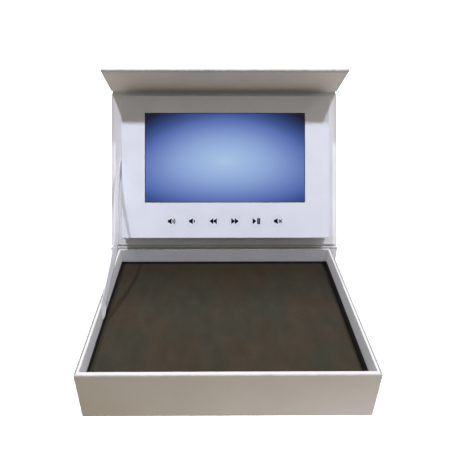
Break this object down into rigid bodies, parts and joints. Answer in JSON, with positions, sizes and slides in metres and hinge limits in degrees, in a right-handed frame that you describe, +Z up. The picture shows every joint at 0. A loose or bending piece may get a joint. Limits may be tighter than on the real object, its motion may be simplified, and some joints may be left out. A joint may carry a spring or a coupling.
{
  "type": "video presentation box",
  "caption": "Rigid card presentation box whose hinged lid holds a video screen with push buttons and folds a magnet flap over the tray.",
  "frame": {"origin": "middle of the tray's flat underside, on the surface the box stands on", "axes": "+Z up; +X to the right as a person faces the open box; the front, where the flap closes, faces -Y and the lid's hinge is at +Y"},
  "size_m": [0.224, 0.2243, 0.2088],
  "materials": {
    "wrapped_card": "satin",
    "printed_wrap": "satin",
    "printed_button": "satin",
    "dark_flock": "matte",
    "stiff_foam": "matte",
    "grey_card": "matte",
    "screen_picture": "gloss",
    "screen_frame": "matte",
    "circuit_board": "satin",
    "black_plastic": "satin",
    "socket_steel": "satin",
    "plated_steel": "gloss",
    "pouch_foil": "satin",
    "flat_cable": "satin",
    "satin_ribbon": "satin"
  },
  "bodies": {
    "tray": {"tray": "wrapped_card", "catch_plates": "socket_steel", "trigger_magnet": "plated_steel", "insert_pad": "dark_flock", "spine_board": "wrapped_card", "lid_hinge_paper": "wrapped_card", "ribbon": "satin_ribbon"},
    "lid": {"lid_board": "wrapped_card", "lid_lining": "wrapped_card", "back_card": "grey_card", "block_frame": "stiff_foam", "face_panel": "printed_wrap", "screen_frame": "screen_frame", "screen_glass": "screen_picture", "main_board": "circuit_board", "hall_sensor": "black_plastic", "charging_socket": "socket_steel", "battery": "pouch_foil", "speaker": "black_plastic", "button_board": "circuit_board", "tact_switches": "black_plastic", "display_flex": "flat_cable", "button_flex": "flat_cable", "flap_hinge_paper": "wrapped_card"},
    "flap": {"flap_board": "wrapped_card", "flap_magnets": "plated_steel", "flap_lining": "wrapped_card"},
    "button_volume_up": {"button_volume_up": "printed_button"},
    "button_volume_down": {"button_volume_down": "printed_button"},
    "button_rewind": {"button_rewind": "printed_button"},
    "button_forward": {"button_forward": "printed_button"},
    "button_play_pause": {"button_play_pause": "printed_button"},
    "button_mute": {"button_mute": "printed_button"}
  },
  "joints": [
    {"name": "lid_hinge", "type": "hinge", "parent": "tray", "child": "lid", "pos_m": [0, 0.07665, 0.0436], "axis": [1, 0, 0], "range_deg": [0, 117.6], "deforming": ["lid_hinge_paper", "ribbon"]},
    {"name": "flap_fold", "type": "hinge", "parent": "lid", "child": "flap", "pos_m": [0, 0.14781, 0.17972], "axis": [1, 0, 0], "range_deg": [-77.4, 15], "deforming": ["flap_hinge_paper"]},
    {"name": "press_volume_up", "type": "slide", "parent": "lid", "child": "button_volume_up", "axis": [0, 0.8862, -0.4633], "range_m": [0, 0.0005], "stiffness_N_per_m": 1500, "springref_m": -0.0002},
    {"name": "press_volume_down", "type": "slide", "parent": "lid", "child": "button_volume_down", "axis": [0, 0.8862, -0.4633], "range_m": [0, 0.0005], "stiffness_N_per_m": 1500, "springref_m": -0.0002},
    {"name": "press_rewind", "type": "slide", "parent": "lid", "child": "button_rewind", "axis": [0, 0.8862, -0.4633], "range_m": [0, 0.0005], "stiffness_N_per_m": 1500, "springref_m": -0.0002},
    {"name": "press_forward", "type": "slide", "parent": "lid", "child": "button_forward", "axis": [0, 0.8862, -0.4633], "range_m": [0, 0.0005], "stiffness_N_per_m": 1500, "springref_m": -0.0002},
    {"name": "press_play_pause", "type": "slide", "parent": "lid", "child": "button_play_pause", "axis": [0, 0.8862, -0.4633], "range_m": [0, 0.0005], "stiffness_N_per_m": 1500, "springref_m": -0.0002},
    {"name": "press_mute", "type": "slide", "parent": "lid", "child": "button_mute", "axis": [0, 0.8862, -0.4633], "range_m": [0, 0.0005], "stiffness_N_per_m": 1500, "springref_m": -0.0002}
  ]
}
